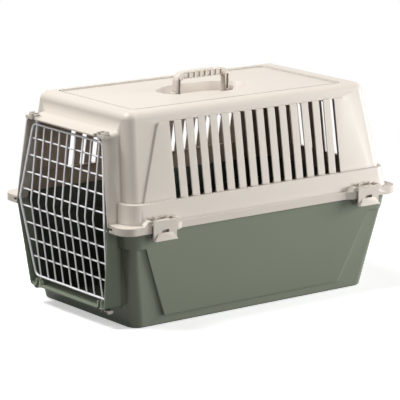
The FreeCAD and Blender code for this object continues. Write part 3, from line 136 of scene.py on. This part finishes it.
class Group:
    """Builder of one shader node group with named sockets."""

    def __init__(self, name: str) -> None:
        """Start an empty group.

        Args:
            name: Name of the group.
        """
        self.tree = bpy.data.node_groups.new(name, "ShaderNodeTree")
        self.entry = self.tree.nodes.new("NodeGroupInput")
        self.exit = self.tree.nodes.new("NodeGroupOutput")

    def take(self, name: str, kind: str, value: object) -> None:
        """Add an input socket with a default value.

        Args:
            name: Name of the socket.
            kind: Type name of the socket.
            value: Its default value.
        """
        socket = self.tree.interface.new_socket(name, in_out="INPUT", socket_type=kind)
        socket.default_value = value

    def give(self, name: str, kind: str, source: Socket) -> None:
        """Add an output socket fed by a source.

        Args:
            name: Name of the socket.
            kind: Type name of the socket.
            source: Socket inside the group that feeds it.
        """
        self.tree.interface.new_socket(name, in_out="OUTPUT", socket_type=kind)
        self.tree.links.new(source, self.exit.inputs[name])

    def node(self, kind: str, **settings: object) -> bpy.types.Node:
        """Add a node and set its properties.

        Args:
            kind: Type name of the node.
            settings: Property values by name.

        Returns:
            The new node.
        """
        node = self.tree.nodes.new(kind)
        for name, value in settings.items():
            setattr(node, name, value)
        return node

    def feed(self, target: Socket, source: Feed) -> None:
        """Join an output socket to a target, or set the target's value.

        Args:
            target: Input socket to feed.
            source: Output socket or fixed value.
        """
        if isinstance(source, Socket):
            self.tree.links.new(source, target)
        else:
            target.default_value = source

    def vector(self, operation: str, first: Feed, second: Feed) -> bpy.types.Node:
        """Add an operation on two vectors.

        Args:
            operation: Name of the operation.
            first: First vector.
            second: Second vector.

        Returns:
            The new node.
        """
        node = self.node("ShaderNodeVectorMath", operation=operation)
        self.feed(node.inputs[0], first)
        self.feed(node.inputs[1], second)
        return node

    def number(self, operation: str, *values: Feed) -> Socket:
        """Add an operation on numbers.

        Args:
            operation: Name of the operation.
            values: Numbers that it takes, in order.

        Returns:
            Its result.
        """
        node = self.node("ShaderNodeMath", operation=operation)
        for target, value in zip(node.inputs, values):
            self.feed(target, value)
        return node.outputs[0]

    def ramp(self, value: Socket, start: float, full: float) -> Socket:
        """Rise from 0 to 1 between two marks.

        Args:
            value: Number to follow.
            start: Mark at which the result is 0.
            full: Mark at which the result is 1.

        Returns:
            The result.
        """
        node = self.node("ShaderNodeMapRange")
        self.feed(node.inputs["Value"], value)
        self.feed(node.inputs["From Min"], start)
        self.feed(node.inputs["From Max"], full)
        return node.outputs["Result"]

    def mix(self, share: Feed, first: Feed, second: Feed, blend: str = "MIX") -> Socket:
        """Mix two colours.

        Args:
            share: Share of the second colour.
            first: First colour.
            second: Second colour.
            blend: Way of mixing.

        Returns:
            The mixed colour.
        """
        node = self.node("ShaderNodeMix", data_type="RGBA", blend_type=blend)
        self.feed(node.inputs["Factor"], share)
        self.feed(node.inputs["A"], first)
        self.feed(node.inputs["B"], second)
        return node.outputs["Result"]


@dataclass(frozen=True)
class MouldedGrain:
    """Fine texture, soft mottling, painted shade in gaps and corners, and painted shade on the
    inside of moulded plastic.
    """

    mottle_scale: float = 7.0
    mottle_detail: float = 3.0
    grain_detail: float = 2.0
    roughness_spread: float = 0.12
    # Painted shade: inward faces behind the door surround take the darker inside colour.
    inside_shade_start: float = -0.02
    inside_shade_full: float = -0.05
    surround_back: float = -0.265
    surround_fade: float = 0.01
    # Painted shade: ambient occlusion darkens gaps and corners, down to crevice_shade.
    crevice_samples: int = 8
    crevice_reach: float = 0.005
    crevice_shade: float = 0.35

    def build(self) -> bpy.types.NodeTree:
        """Build the node group.

        Returns:
            A group with Color, Roughness and Height outputs.
        """
        group = Group("Moulded Grain")
        for name, level in (("Color", 0.5), ("Shade", 0.45), ("Inside", 0.3)):
            group.take(name, "NodeSocketColor", grey(level))
        group.take("Roughness", "NodeSocketFloat", 0.4)
        group.take("Grain Scale", "NodeSocketFloat", 1500.0)
        given = group.entry.outputs
        place = group.node("ShaderNodeTexCoord").outputs["Object"]
        mottle = self.noise(group, place, self.mottle_scale, self.mottle_detail)
        grain = self.noise(group, place, given["Grain Scale"], self.grain_detail)
        colour = group.mix(mottle, given["Color"], given["Shade"])
        # Painted shade: inward faces take the inside colour, a darker, browner copy standing in
        # for the dim bounced light in the shells.
        colour = group.mix(self.inside(group, place), colour, given["Inside"])
        # Painted shade from ambient occlusion in gaps, grooves and corners.
        colour = group.mix(1.0, colour, self.painted_crevice_shade(group), "MULTIPLY")
        roughness = group.number("MULTIPLY_ADD", mottle, self.roughness_spread, given["Roughness"])
        group.give("Color", "NodeSocketColor", colour)
        group.give("Roughness", "NodeSocketFloat", roughness)
        group.give("Height", "NodeSocketFloat", grain)
        return group.tree

    @staticmethod
    def noise(group: Group, place: Socket, scale: Feed, detail: float) -> Socket:
        """Add a noise over the piece.

        Args:
            group: Group to add it to.
            place: Place on the piece.
            scale: Fineness of the noise.
            detail: How many finer layers it has.

        Returns:
            The noise's value.
        """
        node = group.node("ShaderNodeTexNoise")
        group.feed(node.inputs["Vector"], place)
        group.feed(node.inputs["Scale"], scale)
        group.feed(node.inputs["Detail"], detail)
        return node.outputs["Fac"]

    def inside(self, group: Group, place: Socket) -> Socket:
        """Find faces that look back at the line along the middle, behind the door surround, to
        paint them in shade.

        Args:
            group: Group to add the test to.
            place: Place on the piece.

        Returns:
            A mask that is 1 where the inside is painted in shade.
        """
        ahead = group.vector("MAXIMUM", place, (0.0, -CORE_HALF, CORE_HEIGHT))
        core = group.vector("MINIMUM", ahead.outputs["Vector"], (0.0, CORE_HALF, CORE_HEIGHT))
        outward = group.vector("SUBTRACT", place, core.outputs["Vector"])
        normal = group.node("ShaderNodeNewGeometry").outputs["Normal"]
        facing = group.vector("DOT_PRODUCT", outward.outputs["Vector"], normal)
        inward = group.ramp(facing.outputs["Value"], self.inside_shade_start, self.inside_shade_full)
        axes = group.node("ShaderNodeSeparateXYZ")
        group.feed(axes.inputs["Vector"], place)
        fade_start = self.surround_back - self.surround_fade
        behind = group.ramp(axes.outputs["Y"], fade_start, self.surround_back)
        return group.number("MULTIPLY", inward, behind)

    def painted_crevice_shade(self, group: Group) -> Socket:
        """Paint shade into narrow gaps and corners, from ambient occlusion.

        Args:
            group: Group to add the test to.

        Returns:
            A brightness that falls in a crevice, as painted shade.
        """
        open_sky = group.node("ShaderNodeAmbientOcclusion", samples=self.crevice_samples)
        group.feed(open_sky.inputs["Distance"], self.crevice_reach)
        depth = group.node("ShaderNodeMapRange")
        group.feed(depth.inputs["Value"], open_sky.outputs["AO"])
        group.feed(depth.inputs["To Min"], self.crevice_shade)
        return depth.outputs["Result"]


@dataclass(frozen=True)
class Finish:
    """One finish of the carrier."""

    name: str
    colour: Colour
    shade: Colour
    # Darker copy of the colour, painted on inward faces as shade.
    inside: Colour
    roughness: float
    grain_scale: float
    grain_depth: float
    specular: float = 0.5
    coat: float = 0.0
    coat_roughness: float = 0.25
    coat_ior: float = 1.5

    def material(self, grain: bpy.types.NodeTree) -> bpy.types.Material:
        """Build the finish's material.

        Args:
            grain: Node group with the surface's texture.

        Returns:
            The new material.
        """
        material = bpy.data.materials.new(self.name)
        material.use_nodes = True
        nodes, links = material.node_tree.nodes, material.node_tree.links
        shader = nodes["Principled BSDF"]
        shader.inputs["Specular IOR Level"].default_value = self.specular
        shader.inputs["Coat Weight"].default_value = self.coat
        shader.inputs["Coat Roughness"].default_value = self.coat_roughness
        shader.inputs["Coat IOR"].default_value = self.coat_ior
        texture = nodes.new("ShaderNodeGroup")
        texture.node_tree = grain
        texture.inputs["Color"].default_value = (*self.colour, 1.0)
        texture.inputs["Shade"].default_value = (*self.shade, 1.0)
        texture.inputs["Inside"].default_value = (*self.inside, 1.0)
        texture.inputs["Roughness"].default_value = self.roughness
        texture.inputs["Grain Scale"].default_value = self.grain_scale
        bump = nodes.new("ShaderNodeBump")
        bump.inputs["Strength"].default_value = 1.0
        bump.inputs["Distance"].default_value = self.grain_depth
        links.new(texture.outputs["Height"], bump.inputs["Height"])
        links.new(texture.outputs["Color"], shader.inputs["Base Color"])
        links.new(texture.outputs["Roughness"], shader.inputs["Roughness"])
        links.new(bump.outputs["Normal"], shader.inputs["Normal"])
        return material


# The inside colours are painted shade for the dim inside of the shells; the wire's equals its
# colour.
BEIGE = Finish(
    "Beige moulded plastic",
    colour=(0.61, 0.555, 0.49), shade=(0.59, 0.535, 0.47), inside=(0.48, 0.37, 0.29),
    roughness=0.42, grain_scale=1400.0, grain_depth=0.00003, coat=0.1,
)
GREEN = Finish(
    "Sage moulded plastic",
    colour=(0.195, 0.222, 0.168), shade=(0.185, 0.212, 0.158), inside=(0.07, 0.08, 0.06),
    roughness=0.38, grain_scale=1400.0, grain_depth=0.00003, specular=0.2,
)
WIRE = Finish(
    "White coated wire",
    colour=(0.92, 0.91, 0.93), shade=(0.89, 0.88, 0.9), inside=(0.92, 0.91, 0.93),
    roughness=0.3, grain_scale=900.0, grain_depth=0.00002, coat=1.0, coat_ior=1.8,
)


@dataclass(frozen=True)
class Softening:
    """Rounding of the sharp edges of a moulded piece."""

    edge: float
    outside_only: bool = False
    steps: int = 2
    room: float = 2.2
    merge: float = 0.000002
    sharp: float = 28.0
    smooth: float = 40.0

    def copy_of(self, node: str) -> bpy.types.Object:
        """Copy a solid and round its edges.

        Args:
            node: Node of the solid.

        Returns:
            The softened copy.
        """
        piece = bpy.data.objects.new(f"{node}_moulding", frame["nodes"][node].data.copy())
        bpy.context.scene.collection.objects.link(piece)
        with editing(piece):
            bpy.ops.mesh.remove_doubles(threshold=self.merge)
        self.mark_edges(piece)
        soften = piece.modifiers.new("Soft edges", "BEVEL")
        soften.width = self.edge
        soften.segments = self.steps
        soften.limit_method = "WEIGHT"
        soften.use_clamp_overlap = False
        soften.miter_outer = "MITER_ARC"
        even = piece.modifiers.new("Even shading", "WEIGHTED_NORMAL")
        even.keep_sharp = True
        alone(piece)
        bpy.ops.object.shade_smooth_by_angle(angle=math.radians(self.smooth))
        for name in (soften.name, even.name):
            bpy.ops.object.modifier_apply(modifier=name)
        return piece

    def mark_edges(self, piece: bpy.types.Object) -> None:
        """Mark the sharp edges that have room for rounding at both ends.

        Args:
            piece: The piece to mark. On a shell, only its outside edges are marked.
        """
        with editing(piece):
            bpy.ops.mesh.select_mode(type="EDGE")
            bpy.ops.mesh.select_all(action="DESELECT")
            bpy.ops.mesh.edges_select_sharp(sharpness=math.radians(self.sharp))
        mesh = piece.data
        shortest = [math.inf] * len(mesh.vertices)
        for edge in mesh.edges:
            first, last = (mesh.vertices[index].co for index in edge.vertices)
            for index in edge.vertices:
                shortest[index] = min(shortest[index], (first - last).length)
        weights = mesh.attributes.new("bevel_weight_edge", "FLOAT", "EDGE")
        for edge, weight in zip(mesh.edges, weights.data):
            roomy = min(shortest[index] for index in edge.vertices) > self.room * self.edge
            ends = [mesh.vertices[index] for index in edge.vertices]
            wanted = not self.outside_only or all(faces_out(end.co, end.normal) for end in ends)
            weight.value = 1.0 if edge.select and roomy and wanted else 0.0


@dataclass
class Moulding:
    """Moulded pieces of one kind, each with the body that it rides on."""

    nodes: dict[str, str]
    slot: Slot
    softening: Softening

    def build(self, materials: dict[Slot, bpy.types.Material]) -> None:
        """Soften each piece, put it in its solid's place and dress it.

        Args:
            materials: Material of each slot.
        """
        for node, body in self.nodes.items():
            piece = self.softening.copy_of(node)
            dress(piece, materials[self.slot])
            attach(piece, body)
            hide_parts(node)
            log.info("%s: %d faces", piece.name, len(piece.data.polygons))


@dataclass(frozen=True)
class BandLedge:
    """Ledge inside the tub that joins its rim band to the wall below."""

    underside: float = 0.1428
    thickness: float = 0.0024
    half_width: float = 0.1603
    front: float = 0.2719
    rear: float = 0.2849
    depth: float = 0.0056
    corner: float = 0.0229
    corner_steps: int = 8
    door_half: float = 0.1245
    order_from: Place = (0.3, 0.5, 0.9)

    def build(self, material: bpy.types.Material) -> bpy.types.Object:
        """Model the ledge as a flat ring that is open at the door, and dress it.

        Args:
            material: The tub's material.

        Returns:
            The ledge.
        """
        bpy.ops.object.select_all(action="DESELECT")
        bpy.ops.mesh.primitive_plane_add(size=1.0)
        piece = bpy.context.object
        piece.name = "tub_band_ledge"
        with editing(piece):
            bpy.ops.transform.resize(value=(2 * self.half_width, self.front + self.rear, 1.0))
            bpy.ops.transform.translate(value=(0.0, (self.rear - self.front) / 2, self.underside))
            bpy.ops.mesh.bevel(offset=self.corner, segments=self.corner_steps, affect="VERTICES")
            bpy.ops.mesh.inset(thickness=self.depth)
            bpy.ops.mesh.delete(type="FACE")
            for side in (-self.door_half, self.door_half):
                bpy.ops.mesh.select_all(action="SELECT")
                bpy.ops.mesh.bisect(plane_co=(side, 0.0, 0.0), plane_no=(1.0, 0.0, 0.0))
            bpy.ops.mesh.select_mode(type="FACE")
            bpy.ops.mesh.select_all(action="DESELECT")
        for face in piece.data.polygons:
            face.select = abs(face.center.x) < self.door_half and face.center.y < 0.0
        with editing(piece, everything=False):
            bpy.ops.mesh.delete(type="FACE")
            bpy.ops.mesh.select_all(action="SELECT")
            rise = {"value": (0.0, 0.0, self.thickness)}
            bpy.ops.mesh.extrude_region_move(TRANSFORM_OT_translate=rise)
            bpy.ops.mesh.select_all(action="SELECT")
            bpy.ops.mesh.normals_make_consistent(inside=False)
        self.fix_order(piece)
        dress(piece, material)
        return piece

    def fix_order(self, piece: bpy.types.Object) -> None:
        """List the ledge's points, edges and faces in the same order in each run.

        Args:
            piece: The ledge, whose order depends on chance until then.
        """
        cursor = bpy.context.scene.cursor
        home = cursor.location.copy()
        cursor.location = self.order_from
        with editing(piece):
            bpy.ops.mesh.sort_elements(type="CURSOR_DISTANCE", elements={"VERT", "EDGE", "FACE"})
        cursor.location = home


class Carrier:
    """The carrier's sub-assemblies and their finishes."""

    def __init__(self) -> None:
        """Build the shared texture and the three materials, and list the mouldings."""
        grain = MouldedGrain().build()
        self.materials = {
            Slot.BEIGE: BEIGE.material(grain),
            Slot.GREEN: GREEN.material(grain),
            Slot.WIRE: WIRE.material(grain),
        }
        corners = [f"{end}_{side}" for end in ("front", "rear") for side in ("left", "right")]
        seats = [f"{level}_{side}" for level in ("top", "bottom") for side in ("left", "right")]
        clips = {f"clip_{corner}": f"clip_{corner}" for corner in corners}
        catches = {f"door_catch_{seat}": f"door_catch_{seat}" for seat in seats}
        shell_edges = Softening(edge=0.0006, outside_only=True)
        handle_edges = Softening(edge=0.0006)
        small_edges = Softening(edge=0.0003)
        self.mouldings = [
            Moulding({"lower_shell": "carrier"}, Slot.GREEN, shell_edges),
            Moulding({"upper_shell": "carrier"}, Slot.BEIGE, shell_edges),
            Moulding({"handle": "handle"}, Slot.BEIGE, handle_edges),
            Moulding(clips, Slot.BEIGE, small_edges),
            Moulding(catches, Slot.BEIGE, small_edges),
        ]

    def dress_solids(self) -> None:
        """Dress every solid with its slot's finish."""
        for part in frame["record"]["subparts"]:
            slot = Slot(part["material_slot"])
            dress(frame["nodes"][part["node"]], self.materials[slot])
            log.info("%s: %s", part["node"], slot.value)

    def close_tub(self) -> None:
        """Join the ledge under the rim band to the tub's moulding."""
        ledge = BandLedge().build(self.materials[Slot.GREEN])
        tub = bpy.data.objects["lower_shell_moulding"]
        alone(tub)
        ledge.select_set(True)
        bpy.ops.object.join()
        log.info("%s: %d faces with its ledge", tub.name, len(tub.data.polygons))

    def build(self) -> None:
        """Dress the solids, build the softened mouldings and close the tub's wall."""
        self.dress_solids()
        for moulding in self.mouldings:
            moulding.build(self.materials)
        self.close_tub()


@dataclass(frozen=True)
class Lamp:
    """Square area lamp, with its side in metres and its power in watts."""

    name: str
    place: Place
    size: float
    power: float

    def build(self, target: Vector) -> None:
        """Add the lamp.

        Args:
            target: What it points at.
        """
        data = bpy.data.lights.new(self.name, "AREA")
        data.shape = "SQUARE"
        data.size = self.size
        data.energy = self.power
        lamp = bpy.data.objects.new(self.name, data)
        lamp.location = self.place
        lamp.rotation_euler = (target - Vector(self.place)).to_track_quat("-Z", "Y").to_euler()
        bpy.context.scene.collection.objects.link(lamp)


@dataclass
class Studio:
    """Camera, lamps, floor and white surroundings."""

    azimuth: float = 51.48
    elevation: float = 12.87
    roll: float = 0.82
    place: Place = (3.233, -2.5782, 1.108)
    lens: float = 219.1
    sensor: float = 36.0
    reach: float = 50.0
    lit_point: Place = (0.0, 0.0, 0.2)
    lamps: tuple[Lamp, ...] = (
        Lamp("Side lamp", place=(1.5, 2.85, 0.6), size=1.6, power=138.0),
        Lamp("Front lamp", place=(-0.5, -1.27, 2.75), size=1.5, power=110.0),
        Lamp("Fill lamp", place=(3.2, 0.1, 0.8), size=1.5, power=25.0),
    )
    ambient: float = 0.07
    floor_half: float = 6.0
    floor_gap: float = 0.0003
    floor_bounce: float = 0.08
    floor_roughness: float = 0.9
    floor_white: float = 0.95
    floor_glow: float = 0.5
    shadow_near: float = 0.4
    shadow_far: float = 0.8

    def camera(self) -> None:
        """Set up the camera at the photograph's viewing angle."""
        turn = math.radians(self.azimuth)
        lift = math.radians(self.elevation)
        lean = math.radians(self.roll)
        flat = math.cos(lift)
        back = Vector((math.sin(turn) * flat, -math.cos(turn) * flat, math.sin(lift)))
        level = Vector((math.cos(turn), math.sin(turn), 0.0))
        rise = back.cross(level)
        right = math.cos(lean) * level + math.sin(lean) * rise
        up = math.cos(lean) * rise - math.sin(lean) * level
        data = bpy.data.cameras.new("Camera")
        data.lens = self.lens
        data.sensor_width = self.sensor
        data.clip_end = self.reach
        camera = bpy.data.objects.new("Camera", data)
        axes = Matrix((right, up, back)).transposed()
        camera.matrix_world = Matrix.Translation(Vector(self.place)) @ axes.to_4x4()
        bpy.context.scene.collection.objects.link(camera)
        bpy.context.scene.camera = camera

    @staticmethod
    def seen_directly(tree: bpy.types.NodeTree) -> Socket:
        """Tell the rays that show the background from those that light the carrier.

        Args:
            tree: Node tree of a material or world.

        Returns:
            A socket that is 1 for camera, glossy and transmission rays.
        """
        path = tree.nodes.new("ShaderNodeLightPath")
        first = tree.nodes.new("ShaderNodeMath")
        first.operation = "MAXIMUM"
        second = tree.nodes.new("ShaderNodeMath")
        second.operation = "MAXIMUM"
        tree.links.new(path.outputs["Is Camera Ray"], first.inputs[0])
        tree.links.new(path.outputs["Is Glossy Ray"], first.inputs[1])
        tree.links.new(first.outputs[0], second.inputs[0])
        tree.links.new(path.outputs["Is Transmission Ray"], second.inputs[1])
        return second.outputs[0]

    def surroundings(self) -> None:
        """Set up the white world, which lights softly and shows white."""
        world = bpy.data.worlds.new("White surroundings")
        world.use_nodes = True
        nodes, links = world.node_tree.nodes, world.node_tree.links
        soft = nodes["Background"]
        soft.inputs["Color"].default_value = grey(1.0)
        soft.inputs["Strength"].default_value = self.ambient
        white = nodes.new("ShaderNodeBackground")
        white.inputs["Color"].default_value = grey(1.0)
        white.inputs["Strength"].default_value = 1.0
        mix = nodes.new("ShaderNodeMixShader")
        links.new(self.seen_directly(world.node_tree), mix.inputs["Fac"])
        links.new(soft.outputs["Background"], mix.inputs[1])
        links.new(white.outputs["Background"], mix.inputs[2])
        links.new(mix.outputs["Shader"], nodes["World Output"].inputs["Surface"])
        bpy.context.scene.world = world

    def shadow_fade(self, tree: bpy.types.NodeTree) -> Socket:
        """Measure how far the floor lies from the carrier.

        Args:
            tree: Node tree of the floor's material.

        Returns:
            A socket that rises from 0 near the carrier to 1 far from it.
        """
        place = tree.nodes.new("ShaderNodeTexCoord")
        length = tree.nodes.new("ShaderNodeVectorMath")
        length.operation = "LENGTH"
        tree.links.new(place.outputs["Object"], length.inputs[0])
        far = tree.nodes.new("ShaderNodeMapRange")
        far.inputs["From Min"].default_value = self.shadow_near
        far.inputs["From Max"].default_value = self.shadow_far
        tree.links.new(length.outputs["Value"], far.inputs["Value"])
        return far.outputs["Result"]

    def floor_material(self) -> bpy.types.Material:
        """Build a floor that looks white but throws little light back, and keeps the shadow.

        Returns:
            The new material.
        """
        material = bpy.data.materials.new("White floor")
        material.use_nodes = True
        tree = material.node_tree
        nodes, links = tree.nodes, tree.links
        shader = nodes["Principled BSDF"]
        shader.inputs["Base Color"].default_value = grey(self.floor_bounce)
        shader.inputs["Roughness"].default_value = self.floor_roughness
        paper = nodes.new("ShaderNodeBsdfDiffuse")
        paper.inputs["Color"].default_value = grey(self.floor_white)
        glow = nodes.new("ShaderNodeEmission")
        glow.inputs["Strength"].default_value = self.floor_glow
        bright = nodes.new("ShaderNodeAddShader")
        links.new(paper.outputs["BSDF"], bright.inputs[0])
        links.new(glow.outputs["Emission"], bright.inputs[1])
        white = nodes.new("ShaderNodeEmission")
        white.inputs["Strength"].default_value = 1.0
        fade = nodes.new("ShaderNodeMixShader")
        links.new(self.shadow_fade(tree), fade.inputs["Fac"])
        links.new(bright.outputs["Shader"], fade.inputs[1])
        links.new(white.outputs["Emission"], fade.inputs[2])
        mix = nodes.new("ShaderNodeMixShader")
        links.new(self.seen_directly(tree), mix.inputs["Fac"])
        links.new(shader.outputs["BSDF"], mix.inputs[1])
        links.new(fade.outputs["Shader"], mix.inputs[2])
        links.new(mix.outputs["Shader"], nodes["Material Output"].inputs["Surface"])
        return material

    def floor(self) -> None:
        """Lay the floor just under the carrier."""
        bpy.ops.object.select_all(action="DESELECT")
        bpy.ops.mesh.primitive_plane_add(
            size=2 * self.floor_half, location=(0.0, 0.0, -self.floor_gap)
        )
        floor = bpy.context.object
        floor.name = "Floor"
        dress(floor, self.floor_material())

    def build(self) -> None:
        """Build the whole studio."""
        bpy.context.scene.view_settings.view_transform = "Standard"
        self.camera()
        self.surroundings()
        self.floor()
        for lamp in self.lamps:
            lamp.build(Vector(self.lit_point))


def main() -> None:
    """Build the studio and the carrier."""
    logging.basicConfig(level=logging.INFO, format="%(message)s")
    Studio().build()
    Carrier().build()


if __name__ == "__main__":
    main()
